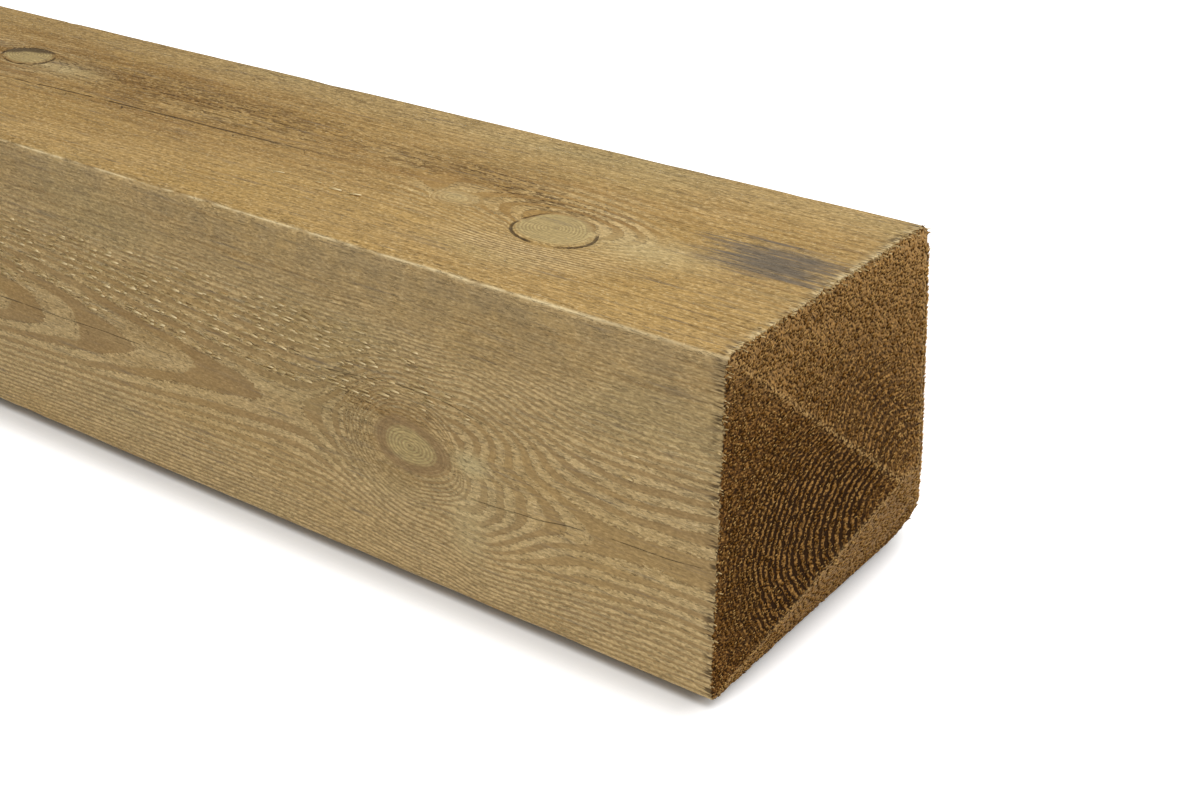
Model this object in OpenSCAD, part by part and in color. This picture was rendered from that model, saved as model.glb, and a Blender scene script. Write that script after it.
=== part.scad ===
// Treated timber beam: one square-sawn length of softwood, lying on its bottom face.
// One end is cut square. The other is weathered four ways: a pair of cuts from the top and
// the bottom meet in a short ridge, and a pair from the two sides closes it off at each end.
// The beam lies along X, with the weathered end at +X and the near side at -Y.
// The origin is under the middle of the beam, on the face that it lies on.

/* [Section] */
// Side of the square sawn section, mm
section_side = 150; // [75:1:300]
// Length from the square-cut foot to the ridge of the weathered end, mm
beam_length = 1800; // [600:50:4800]

/* [Arrises] */
// Radius of the arris between the top and the near side, mm
top_near_arris_r = 3; // [1:0.5:12]
// Radius of the arris between the top and the far side, mm
top_far_arris_r = 6; // [1:0.5:12]
// Radius of the arris between the bottom and the far side, mm
bottom_far_arris_r = 7; // [1:0.5:12]
// Radius of the arris between the bottom and the near side, mm
bottom_near_arris_r = 4; // [1:0.5:12]

/* [Weathered end] */
// Distance from the ridge back to the start of the top cut, mm
top_cut_run = 36; // [15:1:60]
// Distance from the ridge back to the start of the bottom cut, mm
bottom_cut_run = 40; // [15:1:60]
// Distance from the ridge back to the lower end of the far side's cut, mm
far_cut_low_run = 31; // [15:1:60]
// Length of the ridge that the top and bottom cuts leave, mm
ridge_length = 14; // [4:1:40]
// Height of the ridge above the middle of the section, mm
ridge_rise = 4; // [-10:1:10]
// Distance of the ridge's middle from the middle of the section, towards the far side, mm
ridge_shift = 2; // [-10:1:10]

/* [Hidden] */

// How far a saw cut runs past the timber that it takes away
overrun = 20;

half_side = section_side / 2;
foot_x = -beam_length / 2;
ridge_x = beam_length / 2;
ridge_z = half_side + ridge_rise;

$fn = 64;

// The colour of softwood after the preservative has dried
timber_colour = [0.66, 0.53, 0.33];

// What a round arris takes off one corner of the section, with the corner at the origin
// and the timber towards +X and +Y
module arris_waste(r) {
    difference() {
        translate([-overrun, -overrun]) square(overrun + r);
        translate([r, r]) circle(r);
    }
}

// Cross-section of the beam, seen from the weathered end: X is across and Y is up
module sawn_section() {
    difference() {
        translate([-half_side, 0]) square(section_side);
        translate([-half_side, section_side]) rotate(-90) arris_waste(top_near_arris_r);
        translate([half_side, section_side]) rotate(180) arris_waste(top_far_arris_r);
        translate([half_side, 0]) rotate(90) arris_waste(bottom_far_arris_r);
        translate([-half_side, 0]) arris_waste(bottom_near_arris_r);
    }
}

// The sawn length before its end is weathered
module sawn_length() {
    translate([foot_x, 0, 0])
        rotate([90, 0, 90])
            linear_extrude(beam_length) sawn_section();
}

// What one saw cut takes off, with the tip of the end at the origin and the face that is cut
// towards +Y: the cut starts on the face, run behind the tip, and ends at the tip, depth below
// the face
module cut_waste(run, depth, across) {
    cut_slope = atan2(depth, run);
    cut_length = norm([run, depth]);
    linear_extrude(across + 2 * overrun, center = true)
        translate([-run, depth])
            rotate(-cut_slope)
                translate([-overrun, 0])
                    square([cut_length + 2 * overrun, depth + 2 * overrun]);
}

// Top and bottom cuts, which meet in the ridge
module ridge_cuts() {
    translate([ridge_x, 0, ridge_z])
        rotate([90, 0, 0]) {
            cut_waste(top_cut_run, section_side - ridge_z, section_side);
            mirror([0, 1, 0]) cut_waste(bottom_cut_run, ridge_z, section_side);
        }
}

// One side cut, from the middle of the ridge: it starts where the top cut does at its upper end
// and low_run behind the ridge at its lower end, so it leans by the difference
module side_cut(low_run, depth) {
    cut_lean = atan((low_run - top_cut_run) / section_side);
    cut_run = (low_run + top_cut_run) / 2;
    rotate([0, cut_lean, 0])
        translate([0, ridge_length / 2, 0]) cut_waste(cut_run, depth, section_side);
}

// Side cuts, which leave the ridge its length: the near one meets the corner where the bottom cut
// starts, and the far one takes less there
module side_cuts() {
    far_depth = half_side - ridge_shift - ridge_length / 2;
    near_depth = half_side + ridge_shift - ridge_length / 2;
    translate([ridge_x, ridge_shift, half_side]) {
        side_cut(far_cut_low_run, far_depth);
        mirror([0, 1, 0]) side_cut(bottom_cut_run, near_depth);
    }
}

module beam() {
    color(timber_colour)
        difference() {
            sawn_length();
            ridge_cuts();
            side_cuts();
        }
}

beam();
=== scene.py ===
# %% [markdown]
# A treated timber beam
# This lesson dresses a square beam of pressure-treated softwood. One end is weathered: four sloping saw
# cuts meet in a short ridge, so that rain runs off it. Everything here is worked out in the script. One
# closed mesh carries the timber's growth as attributes, node groups turn those into colour and relief,
# and Geometry Nodes grow the torn fibres that make sawn timber look sawn.

# %% Load the frame
import math

import bpy
import numpy as np
from mathutils import Matrix, Vector, noise


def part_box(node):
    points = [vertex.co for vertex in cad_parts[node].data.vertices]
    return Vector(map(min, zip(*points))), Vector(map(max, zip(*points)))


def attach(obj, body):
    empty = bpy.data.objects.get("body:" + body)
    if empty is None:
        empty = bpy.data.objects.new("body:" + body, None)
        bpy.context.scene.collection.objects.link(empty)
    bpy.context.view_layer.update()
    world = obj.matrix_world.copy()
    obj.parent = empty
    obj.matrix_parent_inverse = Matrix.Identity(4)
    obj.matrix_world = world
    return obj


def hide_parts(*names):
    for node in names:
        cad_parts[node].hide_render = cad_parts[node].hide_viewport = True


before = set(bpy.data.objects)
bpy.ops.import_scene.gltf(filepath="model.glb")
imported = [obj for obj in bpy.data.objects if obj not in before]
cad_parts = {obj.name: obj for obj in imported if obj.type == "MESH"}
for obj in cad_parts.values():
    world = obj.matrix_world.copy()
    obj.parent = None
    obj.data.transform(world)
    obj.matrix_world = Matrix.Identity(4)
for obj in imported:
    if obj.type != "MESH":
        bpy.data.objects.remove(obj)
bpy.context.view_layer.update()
scene = bpy.context.scene

MM = 0.001
low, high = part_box("beam")
side = (high.z - low.z) / MM
half_side = side / 2
foot_x = low.x / MM
ridge_x = high.x / MM
print("The beam is", round(ridge_x - foot_x), "mm long and", round(side), "mm square")

# %% [markdown]
# The camera stands where the photographer stood: above the beam, off its near side and past its
# weathered end. Its place and lens were fitted to the beam's straight edges. A camera looks along its
# own -Z with +Y up, so its turn is a matrix whose columns are the directions to the right, up and
# backwards. That is safer than three angles, whose order is easy to mix up.

# %% Camera
eye = Vector((1159.0, -541.2, 421.4))
look = Vector((-0.5315, 0.7091, -0.4634)).normalized()
upwards = Vector((-0.2663, 0.3794, 0.8861))
focal_px = 1785.5
picture_width_px = 1200
sensor_width = 36.0

rightwards = look.cross(upwards).normalized()
upwards = rightwards.cross(look)
lens = bpy.data.cameras.new("photo_camera")
lens.sensor_width = sensor_width
lens.lens = focal_px / picture_width_px * sensor_width
lens.clip_start = 0.01
camera = bpy.data.objects.new("photo_camera", lens)
turn = Matrix((rightwards, upwards, -look)).transposed()
camera.matrix_world = Matrix.Translation(eye * MM) @ turn.to_4x4()
scene.collection.objects.link(camera)
scene.camera = camera
scene.view_settings.view_transform = "Standard"
print("Lens", round(lens.lens, 1), "mm")

# %% [markdown]
# Every finish below is a small tree of nodes. A Wire is the output of a node, and a sum of wires and
# numbers adds the Math nodes that work it out, so that a finish reads like a formula. Shader trees and
# geometry trees share these nodes, so the same helpers serve both.

# %% Wires between nodes
class Wire:
    """The output of a node. Sums of wires and numbers add Math nodes to the wire's own tree."""

    def __init__(self, socket):
        self.socket = socket

    def __add__(self, other):
        return sums("ADD", self, other)

    def __sub__(self, other):
        return sums("SUBTRACT", self, other)

    def __rsub__(self, other):
        return sums("SUBTRACT", other, self)

    def __mul__(self, other):
        return sums("MULTIPLY", self, other)

    def __abs__(self):
        return sums("ABSOLUTE", self)


def feed(socket, value):
    """Links a wire to the socket, or sets the socket's own value."""
    if isinstance(value, Wire):
        socket.id_data.links.new(value.socket, socket)
    else:
        socket.default_value = value


def put(tree, kind, feeds=None, **settings):
    """Adds a node with these settings and these inputs."""
    made = tree.nodes.new(kind)
    for name, value in settings.items():
        setattr(made, name, value)
    for name, value in (feeds or {}).items():
        feed(made.inputs[name], value)
    return made


def out(node, which=0):
    """One output of a node, as a wire."""
    return Wire(node.outputs[which])


def tree_of(*terms):
    """The tree that the first wire among the terms belongs to."""
    return next(term.socket.id_data for term in terms if isinstance(term, Wire))


def sums(operation, *terms, clamp=False):
    """One Math node."""
    feeds = dict(enumerate(terms))
    return out(put(tree_of(*terms), "ShaderNodeMath", feeds, operation=operation, use_clamp=clamp))


def line(value, gain, start, clamp=False):
    """The value times gain, plus start."""
    return sums("MULTIPLY_ADD", value, gain, start, clamp=clamp)


def largest(first, *others):
    """The largest of several wires."""
    for other in others:
        first = sums("MAXIMUM", first, other)
    return first


print("Wires are ready")

# %% [markdown]
# A few more helpers name the nodes that are needed most: a smooth step, a mix of two colours, noise in
# bumps of a given size, and new groups and materials to put them in.

# %% Helpers for finishes
def ease(value, start, end):
    """0 below start, 1 above end and a smooth rise between them. start may be the larger one."""
    feeds = {"Value": value, "From Min": start, "From Max": end}
    return out(put(tree_of(value), "ShaderNodeMapRange", feeds, interpolation_type="SMOOTHSTEP"))


def blend(share, first, second, kind="MIX"):
    """A mix of two colours."""
    feeds = {0: share, 6: first, 7: second}
    return out(put(tree_of(share, first), "ShaderNodeMix", feeds, data_type="RGBA", blend_type=kind), 2)


def vectors(operation, first, second):
    """One Vector Math node."""
    feeds = {0: first, 1: second}
    return out(put(tree_of(first, second), "ShaderNodeVectorMath", feeds, operation=operation))


def noise_on(place, size, detail=2.0, roughness=0.5):
    """Noise whose bumps measure size along X, Y and Z, in the units of place."""
    scaled = vectors("MULTIPLY", place, [1 / s for s in size])
    feeds = {"Vector": scaled, "Scale": 1.0, "Detail": detail, "Roughness": roughness}
    return out(put(tree_of(place), "ShaderNodeTexNoise", feeds), "Fac")


def new_group(name, inputs, outputs):
    """An empty shader group. Its inputs are numbers, but for a vector named Place."""
    tree = bpy.data.node_groups.new(name, "ShaderNodeTree")
    for label in inputs:
        kind = "NodeSocketVector" if label == "Place" else "NodeSocketFloat"
        tree.interface.new_socket(label, in_out="INPUT", socket_type=kind)
    for label in outputs:
        tree.interface.new_socket(label, in_out="OUTPUT", socket_type="NodeSocketFloat")
    start = tree.nodes.new("NodeGroupInput")
    end = tree.nodes.new("NodeGroupOutput")
    return tree, {label: out(start, label) for label in inputs}, end.inputs


def new_material(name):
    """A material, its tree and the inputs of its Principled BSDF."""
    made = bpy.data.materials.new(name)
    made.use_nodes = True
    return made, made.node_tree, made.node_tree.nodes["Principled BSDF"].inputs


print("Helpers are ready")

# %% [markdown]
# The studio has a white floor, which sends light back up under the weathered end. To the camera, but not
# to the timber, the floor glows away from the beam, so that only the deep shadow beside it stays, as in
# a product picture. A stronger lamp would whiten the floor too, but it would bleach the timber.

# %% Floor
floor_reach = 6.0
floor_drop = 0.0035
floor_white = (0.86, 0.86, 0.86, 1)
shadow_reach = 0.034
end_undercut = 0.053


def seen(tree):
    """1 for the rays that show a thing itself: from the camera, by reflection or through glass."""
    rays = put(tree, "ShaderNodeLightPath")
    return largest(*[out(rays, f"Is {kind} Ray") for kind in ("Camera", "Glossy", "Transmission")])


corners = [(-1, -1), (1, -1), (1, 1), (-1, 1)]
floor_mesh = bpy.data.meshes.new("studio_floor")
floor_places = [(x * floor_reach, y * floor_reach, -floor_drop) for x, y in corners]
floor_mesh.from_pydata(floor_places, [], [(0, 1, 2, 3)])
floor = bpy.data.objects.new("studio_floor", floor_mesh)
scene.collection.objects.link(floor)
paper, tree, shader = new_material("white_paper")
shader["Base Color"].default_value = floor_white
shader["Roughness"].default_value = 1.0
shader["Specular IOR Level"].default_value = 0.0
shader["Emission Color"].default_value = (1, 1, 1, 1)
spot = put(tree, "ShaderNodeSeparateXYZ", {0: out(put(tree, "ShaderNodeTexCoord"), "Object")})
past_end = sums("MAXIMUM", abs(out(spot, "X")) - (high.x - end_undercut), 0.0)
past_side = sums("MAXIMUM", abs(out(spot, "Y")) - high.y, 0.0)
gap = sums("SQRT", past_end * past_end + past_side * past_side)
feed(shader["Emission Strength"], seen(tree) * ease(gap, 0.0, shadow_reach))
floor_mesh.materials.append(paper)
print("The floor is", 2 * floor_reach, "m square")

# %% [markdown]
# The light is a white sky that fills the shadows, with one broad lamp over the weathered end. A broad
# lamp gives the soft, short shadows of a studio, and one lamp alone keeps them on one side.

# %% Sky and lamp
sky_fill = 0.5
lamp_watts = 25.0
lamp_width = 1.2
lamp_place = Vector((1.45, -0.4, 1.85))
lamp_target = Vector((0.8, 0.0, 0.1))

sky = bpy.data.worlds.new("white_sky")
sky.use_nodes = True
scene.world = sky
backdrop = sky.node_tree.nodes["Background"].inputs
backdrop["Color"].default_value = (1, 1, 1, 1)
feed(backdrop["Strength"], line(seen(sky.node_tree), 1 - sky_fill, sky_fill))

lamp_data = bpy.data.lights.new("soft_lamp", "AREA")
lamp_data.size = lamp_width
lamp_data.energy = lamp_watts
lamp = bpy.data.objects.new("soft_lamp", lamp_data)
lamp.location = lamp_place
lamp.rotation_euler = (lamp_target - lamp_place).to_track_quat("-Z", "Y").to_euler()
scene.collection.objects.link(lamp)
print("One lamp of", lamp_watts, "W over a sky of strength", sky_fill)

# %% [markdown]
# The beam's section is a square with its four arrises rounded a little, each by its own amount. The
# mesh is a sleeve: columns of vertices run along the beam, and this cell lists one point of the section
# for each column, anticlockwise as seen from the weathered end. A strip of columns starts and ends at
# the middle of an arris, so each of the four faces is one strip. A bevelled cube would give the same
# outline, but not the fine columns along the grain that the rings and the relief need.

# %% Section of the beam
FACES = ("bottom", "far", "top", "near")
TOP, NEAR = FACES.index("top"), FACES.index("near")
arris_r = {"bottom": 4.0, "far": 7.0, "top": 6.0, "near": 3.0}
strip_columns = {"bottom": 74, "far": 54, "top": 74, "near": 86}
arris_columns = 4
half_arris = arris_columns // 2
corner_of = {"bottom": (-1, 0), "far": (1, 0), "top": (1, 1), "near": (-1, 1)}
first_angle = {"bottom": 180, "far": 270, "top": 0, "near": 90}
ridge_ends = {"bottom": (0, 1), "far": (1, 1), "top": (1, 0), "near": (0, 0)}


def arris_point(face, step):
    """A point of the arris before this face, and the direction that it faces."""
    towards, level = corner_of[face]
    r = arris_r[face]
    angle = math.radians(first_angle[face] + 90 * step / arris_columns)
    facing = (math.cos(angle), math.sin(angle))
    across = towards * (half_side - r) + r * facing[0]
    up = level * side + (1 - 2 * level) * r + r * facing[1]
    return (across, up), facing


listed, strip = [], []
for number, face in enumerate(FACES):
    after = FACES[(number + 1) % len(FACES)]
    count = strip_columns[face]
    begin, facing = arris_point(face, arris_columns)
    end, _ = arris_point(after, 0)
    start_share, end_share = ridge_ends[face]
    listed += [(*arris_point(face, step), start_share) for step in range(half_arris, arris_columns + 1)]
    for step in range(1, count + 1):
        share = step / (count + 1)
        spot = [a + (b - a) * share for a, b in zip(begin, end)]
        listed.append((spot, facing, start_share + (end_share - start_share) * share))
    listed += [(*arris_point(after, step), end_share) for step in range(half_arris)]
    strip += [number] * (count + arris_columns + 1)

section, outward, ridge_share = [np.array(values) for values in zip(*listed)]
strip = np.array(strip)
columns = len(section)
girth = np.linalg.norm(np.roll(section, -1, axis=0) - section, axis=1)
girth = np.concatenate([[0], np.cumsum(girth)])
strip_start = [int(np.argmax(strip == number)) for number in range(len(FACES))] + [columns]
print(columns, "columns round", round(girth[-1]), "mm of section")

# %% [markdown]
# Knots are where branches left the stem. They come in whorls, a year's growth apart, so the hidden part
# of the beam gets its own whorls at the same spacing. A live knot is grown into the timber and the rings
# flow round it. A dead knot was shut in later, so it keeps a dark outline. Each is written as a place on
# a face: along the beam, across the face, its radius across and its stretch along the grain.

# %% Knots
def knot(face, along, across, radius, stretch=1.2, dead=0.0, fine=4.0, **more):
    """One knot. flow rings bend round it over this length and height, trail behind it by tail, and rise
    and stand up there by rise and tall. ripple more rings wrap tightly round it. Its own rings and the
    stem's mix over a few years. The outline is open where the gap is, in degrees, and bark fills an edge."""
    made = dict(face=FACES.index(face), along=along, across=across, radius=radius, stretch=stretch,
                dead=dead, fine=fine, flow=3.0, length=1.4, tail=1.4, height=1.6, tall=0.0, rise=0.0,
                ripple=0.0, mixing=5.0 * (1 - dead) + 0.6, gap=1.7 * along % 360, clear=1.0, bark=0.0)
    made.update(more)
    return made


head_knots = [
    knot("top", 745, -17, 15.5, 1.28, dead=1.0, fine=1.7, flow=7.0, length=2.2, height=1.7, gap=90),
    knot("top", 689, -14, 8.0, 1.5, dead=0.0, fine=1.7, flow=1.2, length=2.2, tail=1.0, clear=0.2),
    knot("near", 712, 66, 14.5, 1.5, fine=1.7, flow=8.5, length=1.5, tail=1.85, height=3.1, tall=0.12,
         rise=0.1, ripple=3.8, mixing=1.0),
    knot("far", 730, 92, 14.0, 1.2, dead=0.7, fine=2.4),
    knot("bottom", 705, 12, 16.0, 1.2, dead=0.3, fine=2.4),
    knot("top", 367, 16.5, 11.5, 1.5, dead=1.0, fine=2.0, flow=4.0, gap=80, bark=1.0),
    knot("far", 352, 58, 16.0, 1.2, dead=0.1),
]
foot_knots = [
    knot("near", 12, 84, 15.0, 1.2, dead=0.8),
    knot("bottom", 30, -21, 13.0, 1.25, dead=0.9),
    knot("top", -330, 28, 14.0, 1.2, dead=0.2),
    knot("far", -352, 66, 12.0, 1.3, dead=1.0),
    knot("near", -338, 52, 18.0, 1.15, dead=0.1, flow=3.5),
    knot("top", -688, -24, 16.0, 1.2, dead=0.9),
    knot("bottom", -702, 18, 15.0, 1.2, dead=0.1),
    knot("far", -672, 88, 15.0, 1.2, dead=0.3),
]
knots = head_knots + foot_knots
print(len(knots), "knots in", len({round(k["along"] / 350) for k in knots}), "whorls")

# %% [markdown]
# The four saw cuts of the weathered end are planes, so the length that they leave at any place of the
# section is the smallest of four sums. Cutting the mesh with solids would do as well, but sums give a
# clean row of vertices along each edge. A soft minimum rounds the hips between the cuts as wear does.

# %% Saw cuts of the weathered end
top_cut_run = 36.0
bottom_cut_run = 40.0
far_cut_low_run = 31.0
ridge_up = half_side + 4.0
ridge_near = -5.0
ridge_far = 9.0
hip_wear = 1.0


def soft_min(a, b, width):
    """The smaller of two numbers, with the corner between them rounded over this width."""
    near = np.clip(width - np.abs(a - b), 0, None) / width
    return np.minimum(a, b) - near * near * width / 4


def cut_lengths(across, up):
    """How far along the top, bottom, near and far cuts leave timber, at places in the section."""
    top_cut = ridge_x - top_cut_run * (up - ridge_up) / (side - ridge_up)
    bottom_cut = ridge_x - bottom_cut_run * (ridge_up - up) / ridge_up
    cuts = [top_cut, bottom_cut]
    near_share = (ridge_near - across) / (ridge_near + half_side)
    far_share = (across - ridge_far) / (half_side - ridge_far)
    for low_run, share in ((bottom_cut_run, near_share), (far_cut_low_run, far_share)):
        lean = (up - half_side) * (low_run - top_cut_run) / side
        cuts.append(ridge_x - (low_run + top_cut_run) / 2 * share + lean)
    return cuts


def weathered_reach(across, up, wear=hip_wear):
    """How far along the four cuts together leave timber."""
    top_cut, bottom_cut, near_cut, far_cut = cut_lengths(across, up)
    reach = soft_min(soft_min(top_cut, bottom_cut, wear), soft_min(near_cut, far_cut, wear), wear)
    return np.minimum(reach, ridge_x)


print("The ridge is", round(ridge_far - ridge_near), "mm long and", round(ridge_up), "mm up")

# %% [markdown]
# Rows of vertices stand across the beam. They crowd together at the knots and at the two ends, where
# the surface changes quickly, and spread out over the plain stretches. Even rows as fine as the finest
# would need over three times as many vertices.

# %% Rows along the beam
coarse_step = 15.0
end_step = 1.8
end_spread = 0.12
knot_spread = 0.2
fine_reach = 1.3
straight_end = ridge_x - top_cut_run


def row_step(x):
    """The distance to the next row."""
    steps = [coarse_step, end_step + end_spread * min(straight_end - x, x - foot_x)]
    for one in knots:
        past = abs(x - one["along"]) - fine_reach * one["radius"] * one["stretch"]
        steps.append(one["fine"] + knot_spread * max(0.0, past))
    return min(steps)


rows = [foot_x]
while rows[-1] + row_step(rows[-1]) < straight_end:
    rows.append(rows[-1] + row_step(rows[-1]))
rows = np.array(rows + [straight_end])
print(len(rows), "rows along the sawn length")

# %% [markdown]
# Marks and wear come and go along the beam. A straight ramp, a bell curve and Blender's own noise, asked
# for at each vertex, describe all of them. They could be painted by hand, but a formula can be changed.

# %% Curves and noise
def ramp(value, start, end):
    """0 at start, 1 at end and a straight line between them. start may be the larger one."""
    return np.clip((value - start) / (end - start), 0, 1)


def bell(value, width):
    """1 at 0, falling away smoothly over this width."""
    return np.exp(-(value / width) ** 2)


def soft_noise(places, bump, shift):
    """Blender's smooth noise, about -1 to 1, with bumps of this size along X, Y and Z."""
    cells = np.asarray(places) / np.asarray(bump) + shift
    return np.array([noise.noise(cell) for cell in cells.tolist()])


print("Half way up a ramp is", ramp(0.5, 0, 1), "and one width down a bell is", round(bell(1, 1), 2))

# %% [markdown]
# The saw tears the edges of the weathered end: bites are missing every few millimetres. Noise at each
# column decides how deep each bite is. The last rows of the sleeve are squeezed back to make room for
# them, and the rows over the four cuts start from the bitten edge, so the mesh stays closed.

# %% Sleeve of vertices
torn_length = 26.0
cut_rows = 26
foot_rows = 9
foot_rough = 0.7
cut_rough = 0.5
ragged_edge = 0.4
small_bite, large_bite = 2.4, 3.0
sharp = 0.01
crowding = 1.12

rng = np.random.default_rng(7)
edge_places = np.column_stack([girth[:-1], np.zeros(columns), np.zeros(columns)])
bites = np.clip(soft_noise(edge_places, 3.4, 11.3) - 0.2, 0, None) * small_bite
bites += np.clip(soft_noise(edge_places, 13.0, 4.1) - 0.3, 0, None) * large_bite
bites += rng.uniform(0, ragged_edge, columns)
bitten_edge = weathered_reach(section[:, 0], section[:, 1], sharp) - bites

along = np.repeat(rows[:, None], columns, axis=1)
past = ramp(along, straight_end - torn_length, straight_end)
along = along + past * (bitten_edge - straight_end)[None, :]
across = np.repeat(section[None, :, 0], len(rows), axis=0)
up = np.repeat(section[None, :, 1], len(rows), axis=0)

shares = (np.arange(1, cut_rows) / cut_rows) ** crowding
ridge_y = ridge_near + (ridge_far - ridge_near) * ridge_share
cut_across = section[:, 0] + (ridge_y - section[:, 0]) * shares[:, None]
cut_up = section[:, 1] + (ridge_up - section[:, 1]) * shares[:, None]
cut_along = weathered_reach(cut_across, cut_up)
cut_places = np.stack([cut_along, cut_across, cut_up], axis=-1).reshape(-1, 3)
cut_along = cut_along - cut_rough * (0.2 + soft_noise(cut_places, 3.0, 2.7).reshape(cut_along.shape))

foot_shares = np.arange(1, foot_rows + 1) / (foot_rows + 1)
foot_across = section[:, 0] * foot_shares[:, None]
foot_up = half_side + (section[:, 1] - half_side) * foot_shares[:, None]
foot_places = np.stack([0 * foot_across, foot_across, foot_up], axis=-1).reshape(-1, 3)
foot_along = foot_x + foot_rough * (0.5 + 0.5 * soft_noise(foot_places, 5.0, 8.2).reshape(foot_across.shape))

row_count = foot_rows + len(rows) + cut_rows - 1
sleeve = np.stack([np.vstack([foot_along, along, cut_along]),
                   np.vstack([foot_across, across, cut_across]),
                   np.vstack([foot_up, up, cut_up])], axis=-1)
on_rows = slice(foot_rows, foot_rows + len(rows))
print("Deepest bite", round(float(bites.max()), 1), "mm")

# %% [markdown]
# The sleeve is closed by one vertex in the middle of the foot and a line of them along the ridge, so
# that the beam is one closed surface, as a solid piece is. Each vertex is told which face it is on, and
# whether it is on the sawn length or on an end, because a face and an end are finished differently.

# %% Places of all vertices
ridge_steps = strip_columns["top"] + 1
ridge_line = np.linspace(ridge_near, ridge_far, ridge_steps + 1)
ridge_along = weathered_reach(ridge_line, ridge_up + 0 * ridge_line) - 0.3 * cut_rough
ridge = np.column_stack([ridge_along, ridge_line, np.full(ridge_steps + 1, ridge_up)])
foot_middle = np.array([[foot_x + foot_rough / 2, 0, half_side]])
closing = len(foot_middle) + len(ridge)
places = np.vstack([sleeve.reshape(-1, 3), foot_middle, ridge])
strips = np.concatenate([np.tile(strip, row_count), np.full(closing, -1)])
sawn = np.zeros((row_count, columns), bool)
sawn[on_rows] = True
on_sawn = np.concatenate([sawn.ravel(), np.zeros(closing, bool)])
face_of = np.where(on_sawn, strips, -1)
print(len(places), "vertices, of which", int(on_sawn.sum()), "are on the sawn length")

# %% [markdown]
# Growth comes next. A stem lays down one ring a year round its pith, and the pith wanders, so each saw
# cut meets the rings differently: straight lines at the edges of a face, pointed arches along its
# middle. Rings get narrower as the stem gets thicker. The sum of all rings from the pith outwards has a
# plain formula, so no ring has to be drawn one by one.

# %% Rings of the stem
outer_ring = 0.8
extra_ring = 3.6
ring_fall = 60.0
eccentric = 0.12
pith_across, pith_up = 3, 68
swing_across, swing_up = 5, 7
end_rise = 6
slow_below = 58
slow_gain = 0.0016


def pith(x):
    """Where the pith is in the section, along the beam. It swings both ways and rises by the end."""
    across = pith_across + swing_across * np.cos((x - 700) / 160)
    return across, pith_up + swing_up * np.cos((x - 520) / 180) + end_rise * ramp(x, 790, 880)


def stem_age(places):
    """Years of growth from the pith to each place. A ring is outer_ring wide, and extra_ring more at the
    pith, which falls away over ring_fall. Low on the near side the stem grew more slowly."""
    x, y, z = places.T
    pith_y, pith_z = pith(x)
    distance = np.hypot(y - pith_y, z - pith_z) + eccentric * (z - pith_z)
    grown = np.log((outer_ring * np.exp(distance / ring_fall) + extra_ring) / (outer_ring + extra_ring))
    age = ring_fall / outer_ring * grown
    low_side = np.clip(slow_below - z, 0, None) ** 2 * ramp(y, -60, -75)
    age += slow_gain * low_side * (1 - 0.6 * ramp(x, 640, 780))
    age += 0.7 * soft_noise(places, (190, 26, 26), 5.5)
    return age + 0.25 * soft_noise(places, (60, 9, 9), 3.1)


print("The pith runs", [round(float(v)) for v in pith(straight_end)], "mm across and up at the end")

# %% [markdown]
# Knots, checks and marks are placed on a face, by how far along the beam and how far across the face they
# are. That is how a joiner would measure them, and it keeps the numbers below easy to check.

# %% Places on a face
flat_faces = ("bottom", "top")
face_level = {"bottom": 0.0, "top": side, "near": -half_side, "far": half_side}


def across_face(face, places):
    """How far places are across a face: sideways on the flat faces, and up on the upright ones."""
    return places[:, 1] if face in flat_faces else places[:, 2]


def knot_centre(one):
    """The knot's middle on its face."""
    face = FACES[one["face"]]
    spot = [one["across"], face_level[face]]
    return np.array([[one["along"], *(spot if face in flat_faces else reversed(spot))]])


def turned(angle, start):
    """How many degrees an angle is turned from a start, either way."""
    return np.abs((np.degrees(angle) - start + 180) % 360 - 180)


print("Faces lie at", *[f"{face} {round(level)}" for face, level in face_level.items()])

# %% [markdown]
# A knot has rings of its own, and the stem's rings bend round it: they wrap its rim tightly, spread out
# behind it and fold where they meet again. Where the two ages are close, a soft minimum lets one flow
# into the other, which is just how the grain runs in real timber.

# %% Rings round a knot
knot_ring = 1.25
ripple_room = 18.0
ripple_angle = 8.0
ripple_pinch = 0.9
pinch_angle = 40.0
crease_at = (733.8, 68.0)
crease_rings = 1.1
crease_reach = 80.0
crease_height = 5.0
crease_spread = 0.06
crease_rise = 0.12
wave_rings = 0.6
wave_reach = 50.0


def step_up(value):
    """0 well below 0, 1 well above it and a smooth rise between."""
    return 1 / (1 + np.exp(-4 * value))


def knot_bend(one, ahead, aside, angle, reach):
    """How many rings the stem's grain bends round a knot, and the age that the knot's own rings give."""
    ahead = np.clip(ahead, -9, 9)
    length = one["length"] * (1 + (one["tail"] - 1) * step_up(ahead - 0.6))
    aside = aside - one["rise"] * np.log1p(np.exp(2 * ahead)) / 2
    stand = 1 + one["tall"] * step_up(ahead - 1.2) * aside ** 2
    bend = one["flow"] * stand * np.exp(-(ahead / length) ** 2 - (aside / one["height"]) ** 2)
    room = ripple_room * (1 - ripple_pinch * bell(turned(angle, ripple_angle), pinch_angle))
    past_rim = (reach - 1) * one["radius"] * np.hypot(one["stretch"] * np.cos(angle), np.sin(angle))
    share = ramp(past_rim, 0, room)
    bend += one["ripple"] * (1 - share * share * (3 - 2 * share))
    rim_age = stem_age(knot_centre(one))[0] - 0.55 * one["flow"] - 1.5 * one["ripple"]
    own_age = rim_age + (reach - 1 + 3 * np.clip(reach - 1, 0, None)) * one["radius"] / knot_ring
    return bend, own_age


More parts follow.
